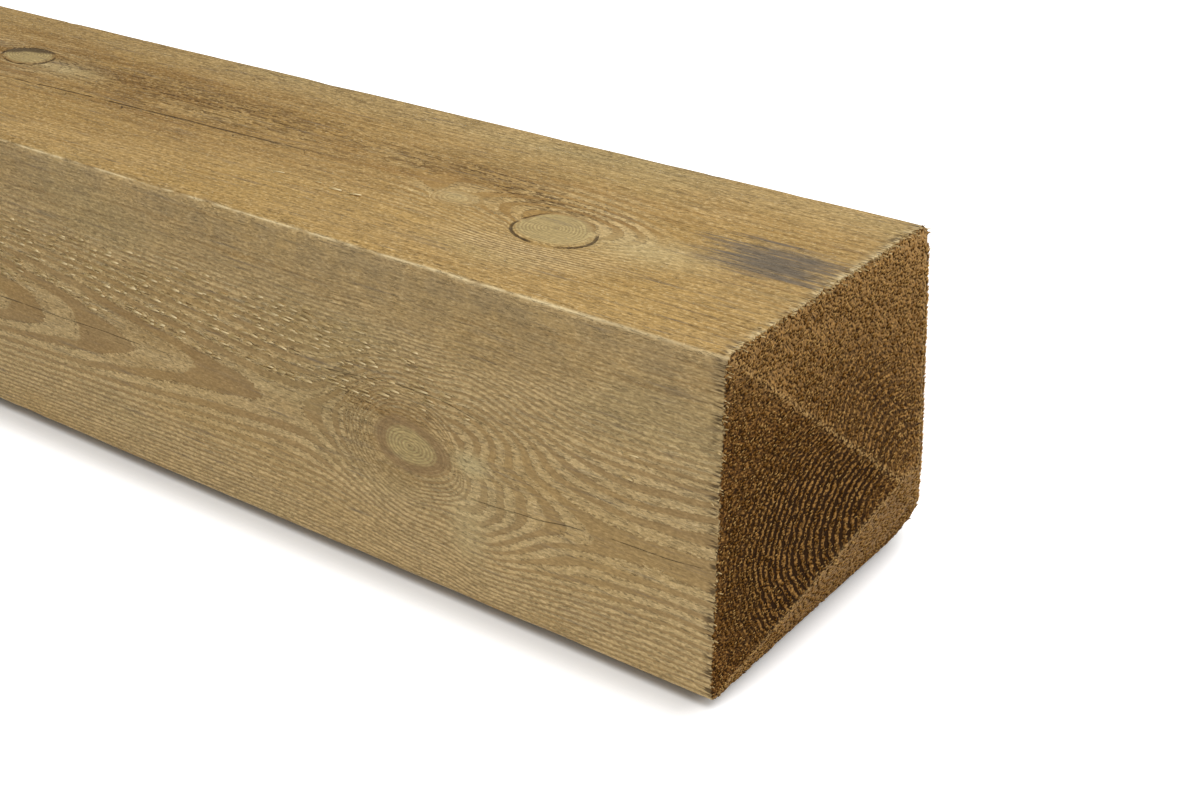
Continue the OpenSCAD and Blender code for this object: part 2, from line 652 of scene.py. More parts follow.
def folded_tail(places):
    """How many rings fold and waver behind the live knot of the near side."""
    ahead, aside = places[:, 0] - crease_at[0], places[:, 2] - crease_at[1]
    behind = np.clip(ahead, 0, None)
    crease = bell(aside - crease_rise * behind, crease_height + crease_spread * behind)
    fan = crease_rings * crease * bell(behind, crease_reach) * ramp(ahead, 0, 6)
    waves = wave_rings * soft_noise(places, (34, 60, 15), 8.6) * bell(ahead - wave_reach, wave_reach)
    return fan + waves


print("A knot's own rings are", knot_ring, "mm wide")

# %% [markdown]
# Now the two are put together at every vertex. The mesh carries the age of the wood, and a material only
# has to draw a line at each whole year. It also carries what the nearest knot is like, and the room that
# one ring takes on the surface, so that a line can be as ragged on a broad ring as on a tight one.

# %% Age of the wood
far_off = 9.0
bend_reach = 6


def grow(places, faces):
    """The wood's age, the distance from the nearest knot in knot radii, and what that knot is like."""
    age = stem_age(places)
    nearest = np.full(len(places), far_off)
    nature = {name: np.zeros(len(places)) for name in ("knot_dead", "knot_rim", "knot_clear", "knot_bark")}
    for one in knots:
        on_face = faces == one["face"]
        ahead = (places[:, 0] - one["along"]) / one["stretch"] / one["radius"]
        aside = (across_face(FACES[one["face"]], places) - one["across"]) / one["radius"]
        angle = np.arctan2(aside, ahead)
        lumpy = 1 + 0.05 * np.sin(2 * angle + one["along"]) + 0.04 * np.sin(3 * angle + one["radius"])
        reach = np.where(on_face, np.hypot(ahead, aside) / lumpy, far_off)
        bend, own_age = knot_bend(one, ahead, aside, angle, reach)
        mixed = soft_min(age - bend, own_age, one["mixing"])
        age = np.where(on_face & (reach < bend_reach), mixed, age)
        outline = one["dead"] * ramp(turned(angle, one["gap"]), 30, 60)
        crescent = one["bark"] * ramp(0.8 * aside - 0.6 * ahead, 0.1, 0.35)
        closest = reach < nearest
        for name, value in zip(nature, (one["dead"], outline, one["clear"], crescent)):
            nature[name] = np.where(closest, value, nature[name])
        nearest = np.minimum(nearest, reach)
    age += np.where(faces == NEAR, folded_tail(places), 0)
    return dict(ring_age=age, knot_reach=nearest, **nature)


def round_sleeve(values):
    """The change between the two neighbours of each vertex, round the sleeve."""
    return np.roll(values, -1, axis=1) - np.roll(values, 1, axis=1)


tiny = 1e-3
least_room, most_room = 0.6, 40
carried = grow(places, face_of)
age_grid = carried["ring_age"][:row_count * columns].reshape(row_count, columns)
width = np.linalg.norm(round_sleeve(sleeve), axis=-1)
change_across = round_sleeve(age_grid) / np.maximum(width, tiny)
width = np.linalg.norm(np.gradient(sleeve, axis=0), axis=-1)
change_along = np.gradient(age_grid, axis=0) / np.maximum(width, tiny)
ring_room = 1 / np.maximum(np.hypot(change_across, change_along), tiny)
ring_room = np.clip(ring_room, least_room, most_room)
carried["ring_room"] = np.concatenate([ring_room.ravel(), np.full(closing, outer_ring + extra_ring)])
print("Rings counted from", *[round(float(f(carried["ring_age"]))) for f in (np.min, np.max)])

# %% [markdown]
# Sawn timber is never quite flat. The blade wanders by a fraction of a millimetre, handling wears the
# arrises and knocks chips out of them, a dead knot stands proud in its own groove, and the near top
# arris has a shallow wane along its middle. All of that is real shape, so it moves the vertices along
# the direction that each column faces.

# %% Relief of the sawn faces
worn_reach = 2.6
wane_reach = 4.0
wane_depth = 1.5
wane_middle, wane_length = 560, 210
blade_wander = 0.18
blade_chatter = 0.06
least_wear, more_wear = 0.25, 0.7
chip_depth = 3.2
knot_proud = 0.35
knot_groove = 0.9
gaps = np.abs(girth[:-1][:, None] - girth[strip_start[:-1]][None, :])
to_arris = np.minimum(gaps, girth[-1] - gaps)
arris_gap = to_arris.min(axis=1)
near_top_gap = to_arris[:, NEAR]

flat = sleeve[on_rows].reshape(-1, 3)
edge = np.tile(bell(arris_gap, worn_reach), len(rows))
wane = np.tile(bell(near_top_gap, wane_reach), len(rows))
depth = blade_wander * soft_noise(flat, (240, 70, 70), 1.9)
depth += blade_chatter * soft_noise(flat, (26, 30, 30), 6.4)
depth -= edge * (least_wear + more_wear * np.clip(soft_noise(flat, (38, 20, 20), 7.7), 0, 1))
depth -= edge * chip_depth * np.clip(soft_noise(flat, (9, 12, 12), 9.1) - 0.42, 0, None)
depth -= wane * wane_depth * bell(flat[:, 0] - wane_middle, wane_length)
flat_reach = carried["knot_reach"][on_sawn]
depth += knot_proud * ramp(flat_reach ** 2, 1, 0)
depth -= knot_groove * carried["knot_rim"][on_sawn] * bell(flat_reach - 1.02, 0.1)
places[on_sawn, 1:] = flat[:, 1:] + np.tile(outward, (len(rows), 1)) * depth[:, None]
x, y, z = places.T
print("Relief from", round(float(depth.min()), 2), "to", round(float(depth.max()), 2), "mm")

# %% [markdown]
# Timber that dries too fast splits in fine checks that follow the grain. A check is carried as a signed
# distance from its line, because that runs straight through zero between vertices, and so gives a line
# far thinner than the mesh is fine. Each has its face, the points that it passes and half its width.

# %% Drying checks
checks = [
    ("near", [(742, 51), (779, 54), (809, 58), (842, 59), (861, 61)], 0.08),
    ("near", [(655, 88), (672, 89), (706, 93), (730, 93), (755, 88)], 0.08),
    ("near", [(300, 60), (380, 63), (485, 65), (570, 67)], 0.06),
    ("near", [(-720, 74), (-600, 70), (-470, 72)], 0.45),
    ("near", [(-250, 66), (-120, 63), (-40, 66)], 0.40),
    ("top", [(330, -13), (384, -14), (470, -10), (594, -7)], 0.5),
    ("top", [(-560, 6), (-430, 3), (-250, 8)], 0.45),
    ("far", [(380, 70), (520, 74), (690, 72)], 0.45),
    ("far", [(-640, 76), (-480, 72), (-380, 74)], 0.35),
    ("bottom", [(80, 4), (300, 1), (560, 5)], 0.45),
]
check_seen = 4.0
check_taper = 40.0
check_wiggle = 0.7
carried["check_offset"] = np.full(len(places), far_off)
carried["check_width"] = np.zeros(len(places))
for face, path, width in checks:
    path_x, path_across = np.array(path, float).T
    begin, stop = path_x[0], path_x[-1]
    wiggle = soft_noise(np.column_stack([x, 0 * x, 0 * x]), (17, 1, 1), width * 31)
    offset = across_face(face, places) - np.interp(x, path_x, path_across) - check_wiggle * wiggle
    taper = ramp(x, begin, begin + check_taper) * ramp(x, stop, stop - check_taper)
    here = (face_of == FACES.index(face)) & (np.abs(offset) < check_seen) & (taper > 0)
    carried["check_offset"] = np.where(here, offset, carried["check_offset"])
    carried["check_width"] = np.where(here, width * np.sqrt(taper), carried["check_width"])
print(len(checks), "drying checks,", int((carried["check_width"] > 0).sum()), "vertices beside them")

# %% [markdown]
# Some marks have a place of their own: riper brown wood, which on the top also stands for painted shade
# where the lamp's light falls off towards the foot, a blue-grey stain by the weathered end, the
# stretches where the saw tore the grain out or lifted it, and paler wood beyond each knot. Each is a
# soft patch, with its face, strength, middle and half sizes along and across, and how soft its edge is.

# %% Patches of wood
patches = {
    "ripe_and_shade": [("top", 1.5, (370, 14), (290, 56), 1.1), ("top", 0.9, (700, 4), (90, 32), 1.2),
             ("near", 0.4, (560, 74), (330, 30), 1.1), ("near", 0.5, (702, 72), (32, 25), 0.7),
             ("top", 0.6, (-420, 0), (320, 60), 1.2), ("far", 0.5, (100, 75), (400, 50), 1.2)],
    "stain": [("top", 1.4, (835, 4), (38, 21), 1.2), ("far", 0.6, (-560, 40), (90, 30), 1.0)],
    "tear": [("top", 1.0, (500, 14), (170, 26), 1.0), ("top", 1.0, (690, 12), (60, 16), 1.0),
             ("top", 0.7, (731, 1), (36, 13), 1.0), ("near", 0.55, (680, 70), (15, 28), 1.0),
             ("far", 0.6, (150, 80), (150, 30), 1.0), ("top", 0.7, (-500, -10), (140, 34), 1.0),
             ("top", 0.5, (540, 60), (300, 18), 1.0)],
    "pale": [("near", 1.8, (744, 68), (10, 6), 1.0), ("near", 0.4, (750, 56), (22, 15), 1.0),
             ("near", 0.8, (741, 36), (11, 15), 0.9), ("top", 1.0, (790, -14), (34, 14), 1.0),
             ("top", 0.9, (689, -12), (15, 7), 1.0), ("top", 1.0, (404, 12), (34, 12), 1.0),
             ("top", 0.5, (640, 62), (420, 18), 1.0)],
    "lifted": [("top", 0.6, (645, -34), (62, 3.5), 1.0)],
}
patch_rim = 1.25
for one in foot_knots:
    beyond = (one["along"] + 2.1 * one["radius"], one["across"])
    patches["pale"].append((FACES[one["face"]], 1.0, beyond, (26, 13), 1.0))


def patched(name):
    """The sum of all patches of one kind, at each vertex."""
    total = np.zeros(len(places))
    for face, strength, middle, size, edge in patches[name]:
        far = np.hypot((x - middle[0]) / size[0], (across_face(face, places) - middle[1]) / size[1])
        mark = strength * ramp(far, patch_rim, patch_rim - edge)
        total += np.where(face_of == FACES.index(face), mark, 0)
    return total


for name in ("ripe_and_shade", "stain", "tear", "pale"):
    carried[name] = patched(name)
print(sum(len(kind) for kind in patches.values()), "patches")

# %% [markdown]
# The faces differ too. Weather turned the sides greyer than the top, the rings stand out more on some
# faces than on others, and the upper half of the near side is furry, with rows of lifted fibres where
# one year's wood breaks from the next. The numbers below go by face: bottom, far, top, near and the ends.

# %% Character of each face
face_grey = np.array([0.35, 0.5, 0.0, 0.75, 0.2])
face_bold = np.array([0.7, 0.8, 0.22, 1.0, 1.0])
face_lift = np.array([0.35, 0.6, 0.04, 0.02, 0.0])
bold_by_knot = 0.75
most_dashed = 0.8
near_face = face_of == NEAR
knot_reach = carried["knot_reach"]
carried["grey"] = face_grey[face_of]
bold = np.clip(face_bold[face_of] + bold_by_knot * ramp(knot_reach, 3, 2), 0, 1)
bold *= np.clip((carried["ring_room"] - 0.5) / 1.2, 0.15, 1)
napped = 0.15 * ramp(z, 80, 96) * ramp(knot_reach, 2.2, 4.2) + 0.5 * ramp(z, 112, 128)
carried["bold"] = bold * np.where(near_face, 1 - napped, 1)
dashed = np.minimum(ramp(z, 70, 82), most_dashed) * ramp(z, 122, 106)
lift = face_lift[face_of] + np.where(near_face, dashed * (1 - 0.6 * ramp(x, 690, 750)), 0)
lift = (lift + patched("lifted")) * ramp(carried["stain"], 0.5, 0)
lift[on_sawn] *= np.tile(ramp(arris_gap, 3, 8), len(rows))
carried["lift"] = lift
carried["shade"] = np.where(strips == NEAR, ramp(z, 105, 145), 0)
print("Rings stand out by", round(float(carried["bold"].mean()), 2), "on average")

# %% [markdown]
# The last numbers belong to the edges and the ends: how worn an arris is and how much painted highlight
# it gets, how far a vertex is from the edge of a saw cut, how near it is to a hip between two cuts, and
# how much painted light makes its cut paler. The painted light goes by cut: top, bottom, near and far,
# and grows towards the top. As plain numbers on the mesh they serve the material and the fibres alike.

# %% Edges and ends
bright_reach = 0.85
torn_top_reach = 2.2
hip_reach = 0.9
cut_painted_light = np.array([0.22, 0.75, 0.04, 0.6])
# Painted highlight, as well as wear, along the rounded arrises.
bright = np.tile(bell(arris_gap, bright_reach), len(rows))
bright *= 1 - 0.55 * ramp(flat[:, 0], 790, 830)
# The top's torn end edge is paler, by wear and by a painted highlight.
top_end = bell(bitten_edge - along, torn_top_reach) * (strip == TOP)
carried["worn"] = np.zeros(len(places))
carried["worn"][on_sawn] = np.maximum(bright, 0.8 * top_end.ravel())

last_row = on_rows.stop - 1
to_edge = np.zeros((row_count, columns))
to_edge[:foot_rows] = (1 - foot_shares[:, None]) * half_side
to_edge[on_rows] = -np.minimum(bitten_edge - along, along - foot_x)
to_edge[on_rows.stop:] = np.linalg.norm(sleeve[on_rows.stop:] - sleeve[last_row], axis=-1)
carried["end_depth"] = np.concatenate([to_edge.ravel(), np.full(closing, half_side)])

cuts = np.stack(cut_lengths(y, z))
first_cut = np.argmin(cuts, axis=0)
cuts = np.sort(cuts, axis=0)
at_head = ~on_sawn & (x > 0)
carried["hip"] = np.where(at_head, bell(cuts[1] - cuts[0], hip_reach), 0)
# Painted light: each cut gets its own lightness, most the bottom cut over the white floor, more towards the
# top.
painted_end_light = 0.5 * ramp(z, 116, 150) + cut_painted_light[first_cut]
painted_end_light += np.where(first_cut == 0, 0.3 * ramp(y, 0, 60), 0)
carried["painted_end_light"] = np.where(at_head, painted_end_light, 0)
print("Each vertex carries", len(carried), "numbers")

# %% [markdown]
# Now the sleeve becomes one closed mesh. Rows are joined to the next by four-sided faces, the foot closes
# on its middle and the weathered end on its ridge line, where the top and the bottom share vertices. A
# plain list of places and faces does this in one call, and the numbers stay in step with the vertices.

# %% Mesh of the beam
index = np.arange(row_count * columns).reshape(row_count, columns)
middle_index = row_count * columns
ridge_index = middle_index + 1 + np.rint(ridge_share * ridge_steps).astype(int)
loops = np.vstack([np.full(columns, middle_index), index, ridge_index])
faces, mapped = [], []
for number in range(len(loops) - 1):
    lower, upper = loops[number].tolist(), loops[number + 1].tolist()
    for column in range(columns):
        after = (column + 1) % columns
        corners = dict.fromkeys((lower[column], lower[after], upper[after], upper[column]))
        if len(corners) > 2:
            faces.append(list(corners))
            mapped.append((number, column))

beam_mesh = bpy.data.meshes.new("sawn_beam")
beam_mesh.from_pydata((places * MM).tolist(), [], faces)
for name, values in carried.items():
    made = beam_mesh.attributes.new(name, "FLOAT", "POINT")
    made.data.foreach_set("value", np.asarray(values, np.float32))
print("The beam has", len(faces), "faces")

# %% [markdown]
# A map lays the four faces out as strips along the grain, with the two ends above them, so that the
# finish can be baked to a picture. Each strip and each end keeps a small gap to its neighbour, so that
# colours don't bleed from one to the next. An automatic unwrap would cut the long faces into islands,
# and the grain would show a seam at each.

# %% Map for the bake
strip_height = 0.185
end_size = 1 - len(FACES) * strip_height
map_gap = 0.004
bake_map = beam_mesh.uv_layers.new(name="OFBake")


def on_strip(vertex, face_column):
    """The map's place for a vertex of the sawn length, on a face that starts at this column."""
    number = strip[face_column]
    begin, stop = strip_start[number], strip_start[number + 1]
    column = vertex % columns
    if column < begin or (column == 0 and face_column == columns - 1):
        column = stop
    v = (girth[column] - girth[begin]) / (girth[stop] - girth[begin])
    v = number + map_gap / strip_height + v * (1 - 2 * map_gap / strip_height)
    return (places[vertex, 0] - foot_x) / (ridge_x - foot_x), v * strip_height


def on_end(vertex, shift):
    """The map's place for a vertex of an end."""
    u, v = places[vertex, 1:] / side * (end_size - 2 * map_gap) + map_gap
    return u + end_size / 2 - map_gap + shift, 1 - end_size + v


spots = []
for face, (number, column) in zip(faces, mapped):
    on_length = foot_rows < number <= foot_rows + len(rows) - 1
    shift = 0.0 if number > foot_rows else end_size
    spots += [on_strip(vertex, column) if on_length else on_end(vertex, shift) for vertex in face]
bake_map.data.foreach_set("uv", np.array(spots, np.float32).ravel())
beam_mesh.validate()
beam_mesh.shade_smooth()
beam = bpy.data.objects.new("sawn_beam", beam_mesh)
scene.collection.objects.link(beam)
beam_mesh.calc_loop_triangles()
print("The beam has", len(beam_mesh.loop_triangles), "triangles")

# %% [markdown]
# The first finish is the rings themselves. In each year the wood starts pale and soft and ends in a
# dark, hard band, and the next year starts at once. A group turns an age into that saw-tooth: how much
# late wood there is, and where a new year breaks away from the old one.

# %% Annual rings
late_season = 0.53
break_season = 0.46
rings_group, given, result = new_group("annual_rings", ("Age", "Room", "Wander", "Crumb"),
                                       ("Latewood", "Edge", "Season"))
per_mm = sums("DIVIDE", 1.0, given["Room"])
ragged = sums("MINIMUM", line(given["Room"], 0.08, 0.04), 1.8) * per_mm
season = sums("FRACT", line(given["Wander"] + given["Crumb"], ragged, given["Age"]))
soft = sums("MINIMUM", per_mm * 0.3, 0.11)
late_start = ease(season, late_season - soft, soft + late_season)
late_end = ease(season, 1.0, 1.0 - soft * 1.6)
feed(result["Latewood"], late_start * late_end)
to_turn = sums("MINIMUM", season, 1.0 - season)
to_break = sums("MINIMUM", abs(season - break_season), to_turn)
feed(result["Edge"], ease(to_break, sums("MINIMUM", per_mm * 1.1, 0.16), 0.0))
feed(result["Season"], season)
print("Group", rings_group.name, "has", len(rings_group.nodes), "nodes")

# %% [markdown]
# Rough sawing leaves a nap on the timber: streaks along the grain, short pale fibres that the teeth
# lifted, and dark pits where fibres were pulled out. They are three noises stretched along the grain by
# different amounts. Height goes to the bump, and the masks go to the colour.

# %% Sawn nap
nap_group, given, result = new_group("sawn_nap", ("Place", "Tear"),
                                     ("Streak", "Dash", "Pit", "Crumb", "Height"))
streak = noise_on(given["Place"], (30, 0.9, 0.9), 3.0, 0.6)
dashes = noise_on(given["Place"], (7.5, 1.3, 1.3), 2.0, 0.55)
crumb = noise_on(given["Place"], (2.0, 0.9, 0.9), 2.0, 0.6)
dash = ease(dashes, 0.55, 0.68)
pit_limit = line(given["Tear"], 0.07, 0.40)
pit = ease(dashes, pit_limit, pit_limit - 0.10)
height = streak * 0.5
for mask, gain in ((dash, 0.55), (pit, -0.8), (crumb, 0.9)):
    height = line(mask, gain, height)
for name, value in {"Streak": streak, "Dash": dash, "Pit": pit, "Crumb": crumb, "Height": height}.items():
    feed(result[name], value)
print("Group", nap_group.name, "has", len(nap_group.nodes), "nodes")

# %% [markdown]
# The timber's own material puts these together, one cell for each layer. First comes the wood: pale early
# wood and brown late wood are mixed by the rings, the preservative leaves broad olive and golden clouds,
# and the marks that the mesh carries make it greyer, browner or paler in places. On the top the browner
# marks are partly painted shade, darker towards the foot.

# %% Colour of the wood
early_tan = (0.66, 0.475, 0.225, 1)
late_brown = (0.295, 0.178, 0.066, 1)
middle_tan = (0.46, 0.288, 0.10, 1)
golden = (0.47, 0.295, 0.09, 1)
olive = (0.40, 0.295, 0.12, 1)
grey_tan = (0.52, 0.39, 0.205, 1)
warm_brown = (0.29, 0.162, 0.048, 1)
pale_wood = (0.62, 0.50, 0.255, 1)

timber, tree, shader = new_material("treated_timber")
metres = out(put(tree, "ShaderNodeTexCoord"), "Object")
place = vectors("MULTIPLY", metres, [1 / MM] * 3)
has = {name: out(put(tree, "ShaderNodeAttribute", attribute_name=name), "Fac") for name in carried}
nap = put(tree, "ShaderNodeGroup", {"Place": place, "Tear": has["tear"]}, node_tree=nap_group)
crumb = out(nap, "Crumb")
wander = line(noise_on(place, (26, 3.0, 3.0)), 2.4, -1.2)
feeds = {"Age": has["ring_age"], "Room": has["ring_room"], "Wander": wander, "Crumb": line(crumb, 2.0, -1.0)}
ring = put(tree, "ShaderNodeGroup", feeds, node_tree=rings_group)
late = out(ring, "Latewood")
bold = has["bold"]

colour = blend(late, early_tan, late_brown)
fade = ease(noise_on(place, (55, 9, 9)), 0.25, 0.6)
colour = blend(bold * line(fade, 0.3, 0.7), middle_tan, colour)
clouds = noise_on(place, (120, 45, 45), 3.0)
colour = blend(ease(clouds, 0.45, 0.7) * 0.4, colour, golden)
colour = blend(ease(clouds, 0.5, 0.3) * 0.45, colour, olive)
colour = blend(has["grey"] * 0.4, colour, grey_tan)
# Riper brown wood; on the top it is partly painted shade, darker towards the foot.
warm_noise = noise_on(place, (70, 9, 9), 3.0)
colour = blend(has["ripe_and_shade"] * ease(warm_noise, 0.25, 0.75) * 0.9, colour, warm_brown)
long_streak = noise_on(place, (90, 2.2, 2.2), 3.0, 0.6)
colour = blend(ease(long_streak, 0.5, 0.68) * (1.0 - bold) * 0.6, colour, warm_brown)
colour = blend(sums("MINIMUM", has["pale"] * 0.45, 0.75), colour, pale_wood)
print("The wood mixes", len([n for n in tree.nodes if n.bl_idname == "ShaderNodeMix"]), "times")

# %% [markdown]
# A knot is cut across its own rings, so it is smoother and greener than the wood round it. A live one is
# pale in the middle and brown towards its rim, and a dead one is pale right across. Bark that grew in
# with the branch leaves a black crescent along one edge. The mesh carries the distance from a knot in
# knot radii, so the same few mixes serve knots of every size.

# %% Colour of the knots
knot_tan = (0.48, 0.37, 0.165, 1)
knot_brown = (0.30, 0.195, 0.09, 1)
rim_brown = (0.05, 0.03, 0.015, 1)
knot_at = has["knot_reach"]
heart = ease(knot_at, 1.0, 0.8)
knot_wood = blend(ease(knot_at, 0.5, 0.68), knot_tan, knot_brown)
knot_wood = blend(has["knot_dead"], knot_wood, knot_tan)
knot_wood = blend(late * 0.5, knot_wood, knot_brown)
knot_wood = blend(ease(knot_at, 0.1, 0.03) * 0.6, knot_wood, rim_brown)
colour = blend(heart * has["knot_clear"] * 0.85, colour, knot_wood)
bark = ease(knot_at, 0.2, 0.5) * ease(knot_at, 1.1, 1.0) * has["knot_bark"]
colour = blend(bark * 0.85, colour, rim_brown)
print("Knots are in the colour")

# %% [markdown]
# The nap lightens and darkens all of that. Late wood and knots are hard, so they stay smooth. Pale
# dashes lie where a new year starts, with a row of painted shadow beside them, and dark pits open along
# the edges of the rings, partly as painted shadow under their crumbly ridges, and wherever the saw tore
# the grain. These masks also go to the relief, so that light and colour agree.

# %% Lifted and torn grain
lifted_tan = (0.80, 0.62, 0.34, 1)
pit_and_shadow_brown = (0.13, 0.07, 0.025, 1)
tear = has["tear"]
pit = out(nap, "Pit")
streak_gain = line(out(nap, "Streak") - 0.5, line(bold, -0.5, 1.1), 1.0)
colour = blend(1.0, colour, streak_gain * line(crumb, 0.95, 0.525), "MULTIPLY")
rough = line(late * bold, -0.8, 1.0) * line(heart, -0.8, 1.0)
colour = blend(ease(crumb, 0.55, 0.7) * rough * 0.4, colour, lifted_tan)
lift_share = ease(abs(out(ring, "Season") - 0.2), 0.24, 0.1) * has["lift"]
dash_share = out(nap, "Dash") * line(lift_share, 1.1, 0.05, clamp=True)
colour = blend(dash_share * rough, colour, lifted_tan)
# Dark ring edges: pits, and painted shadow under the crumbly ridges.
edge_pit_and_shadow = out(ring, "Edge") * ease(crumb, 0.5, 0.36) * sums("MAXIMUM", bold, tear)
edge_pit_and_shadow = edge_pit_and_shadow * line(tear, 0.65, 0.35) * (1.0 - heart)
face_pit = pit * rough * line(tear, 0.6, 0.10)
# Painted shadow in a row beside the lifted fibres.
lift_painted_shadow = pit * lift_share * 0.95
torn_strip = ease(noise_on(place, (24, 2.2, 2.2), 3.0, 0.6), 0.46, 0.34) * tear * 0.6
colour = blend(largest(face_pit, lift_painted_shadow, edge_pit_and_shadow, torn_strip), colour, pit_and_shadow_brown)
print("The nap is in the colour")

# %% [markdown]
# Then come the marks of storing and handling, with some painted light: the blue-grey stain that a fungus
# leaves in wet sapwood, painted shade under the near arris, the dark outlines of dead knots, arrises made
# paler by wear and by a painted highlight, the drying checks, and nicks along the edges of the weathered
# end. Each is a mask times a noise, because a mark with an even edge looks painted on.

# %% Stain, painted shade, outlines, wear with painted highlights, and checks
stain_grey = (0.165, 0.135, 0.10, 1)
shade_brown = (0.26, 0.20, 0.12, 1)
arris_tan = (0.86, 0.69, 0.39, 1)
stain_noise = noise_on(place, (46, 2.2, 2.2), 4.0, 0.7)
stained = ease(has["stain"] + line(stain_noise, 3.6, -1.85), 0.0, 1.2)
colour = blend(stained * 0.95, colour, stain_grey)
# Painted shade: a darker brown band under the near arris.
shade_noise = noise_on(place, (16, 14, 14), 4.0, 0.65)
colour = blend(has["shade"] * ease(shade_noise, 0.25, 0.75) * 0.5, colour, shade_brown)
outline_noise = noise_on(place, (12, 12, 12), 1.0)
outline = ease(abs(knot_at - 1.0), 0.055, 0.01) * has["knot_rim"] * ease(outline_noise, 0.36, 0.5)
colour = blend(outline * 0.8, colour, rim_brown)
# Painted highlight and wear: arrises and the top's torn end edge are made paler.
worn_noise = noise_on(place, (12, 4, 4), 3.0)
colour = blend(has["worn"] * ease(worn_noise, 0.34, 0.56) * 0.85, colour, arris_tan)
check = ease(has["check_width"] - abs(has["check_offset"]), -0.2, 0.2) * ease(worn_noise, 0.3, 0.5)
colour = blend(check * 0.75, colour, rim_brown)
nick = ease(noise_on(place, (9.0, 1.0, 1.0), 1.0), 0.51, 0.58) * ease(has["end_depth"], -6.5, -1.0)
nick = nick * ease(noise_on(place, (9, 14, 14)), 0.34, 0.52)
colour = blend(nick * 0.8, colour, rim_brown)
print("Marks are in the colour")

# %% [markdown]
# Past the edge of a saw cut the end grain is dark, because it drank far more of the preservative, and its
# darkest gaps are also painted shade between the tufts. Soft early wood tore out in grooves there and hard
# late wood stands up in crests, so the rings show in relief, with painted shade in the grooves and painted
# highlights on the crests and on bright specks. Painted light makes some cuts paler. The rings show best
# in the shaded cuts and at a middling age, and fade out towards the edges. The age that draws the rings
# on the faces draws them here too, so the two belong together.

# %% Colour of the end grain
end_dark_and_shade = (0.028, 0.011, 0.002, 1)
end_brown = (0.19, 0.08, 0.016, 1)
speck_highlight = (0.54, 0.29, 0.08, 1)
lit_cut_tan = (0.53, 0.315, 0.12, 1)
hip_tan = (0.54, 0.34, 0.13, 1)
end_noise = noise_on(place, (1.25, 1.0, 1.0))
# The darkest end grain is preservative and also painted shade between the tufts.
end_colour = blend(ease(end_noise, 0.36, 0.62), end_dark_and_shade, end_brown)
# Painted light: the cuts with more of it are paler.
end_colour = blend(has["painted_end_light"] * ease(end_noise, 0.3, 0.55) * 0.8, end_colour, lit_cut_tan)
# Painted highlights: bright specks on the end grain.
end_colour = blend(ease(end_noise, 0.56, 0.68) * 0.6, end_colour, speck_highlight)
end_years = line(noise_on(place, (2.6, 2.0, 3.4)), 0.9, has["ring_age"])
end_season = sums("FRACT", end_years - 0.45)
level = out(put(tree, "ShaderNodeSeparateXYZ", {0: place}), "Z")
ring_shown = ease(has["ring_age"], 36.0, 21.0) * ease(has["ring_age"], 2.5, 8.0)
ring_shown = ring_shown * ease(has["painted_end_light"], 0.65, 0.08) * line(ease(level, 112.0, 84.0), 0.4, 0.6)
# Painted highlights on the crests of late wood.
crest = ease(abs(end_season - 0.72), 0.26, 0.08) * ring_shown * ease(end_noise, 0.35, 0.6)
end_colour = blend(crest * 0.45, end_colour, speck_highlight)
# Painted shade in the grooves.
groove = ease(abs(end_season - 0.25), 0.28, 0.15) * line(ring_shown, 0.92, 0.08)
end_colour = blend(groove, end_colour, end_dark_and_shade)
end_colour = blend(has["hip"] * ease(end_noise, 0.44, 0.6) * 0.75, end_colour, hip_tan)
ragged = line(noise_on(place, (4.0, 1.2, 1.2)), 4.0, -2.4)
end_mask = ease(has["end_depth"] + ragged, -0.3, 0.7)
colour = blend(end_mask, colour, end_colour)
print("The end grain is in the colour")

# %% [markdown]
# The colour goes to the shader with a dull, rough surface, as dry wood has no gloss. The same masks make
# the relief: a bump stands in for detail that is finer than the mesh, and costs no triangles.

# %% Relief of the finish
bump_depth = 0.75 * MM
feed(shader["Base Color"], colour)
feed(shader["Roughness"], line(late, -0.12, 0.88))
shader["Specular IOR Level"].default_value = 0.1
relief = out(nap, "Height") * rough
for mask, gain in ((dash_share, 0.9), (edge_pit_and_shadow, -0.8), (check, -1.6), (outline, -1.2), (late * bold, 0.4)):
    relief = line(mask, gain, relief)
end_relief = line(groove, -1.5, end_noise)
relief = line(end_relief, end_mask, relief * (1.0 - end_mask))
bump = put(tree, "ShaderNodeBump", {"Height": relief, "Distance": bump_depth, "Strength": 1.0})
feed(shader["Normal"], out(bump))
beam_mesh.materials.append(timber)
print("Treated timber has", len(tree.nodes), "nodes")

# %% [markdown]
# A torn fibre is darker where it leaves the wood, which is painted shade among the fibres, and paler at
# its tip, partly as a painted highlight, and no two are alike. Each fibre carries its own tone and the
# height along it as a map, so one material serves all of them: the tone picks the tip's colour, and the
# height fades it into the painted shade at its root.

# %% Fibre finishes
def fibre_finish(name, root, dull_tip, bright_tip):
    """A material for fibres, coloured by the tone and the height in their map."""
    made, tree, shader = new_material(name)
    spot = put(tree, "ShaderNodeSeparateXYZ", {0: out(put(tree, "ShaderNodeUVMap", uv_map="OFBake"))})
    tip = blend(ease(out(spot, "X"), 0.05, 0.95), (*dull_tip, 1), (*bright_tip, 1))
    feed(shader["Base Color"], blend(ease(out(spot, "Y"), 0.1, 0.95), (*root, 1), tip))
    shader["Roughness"].default_value = 0.85
    shader["Specular IOR Level"].default_value = 0.02
    return made


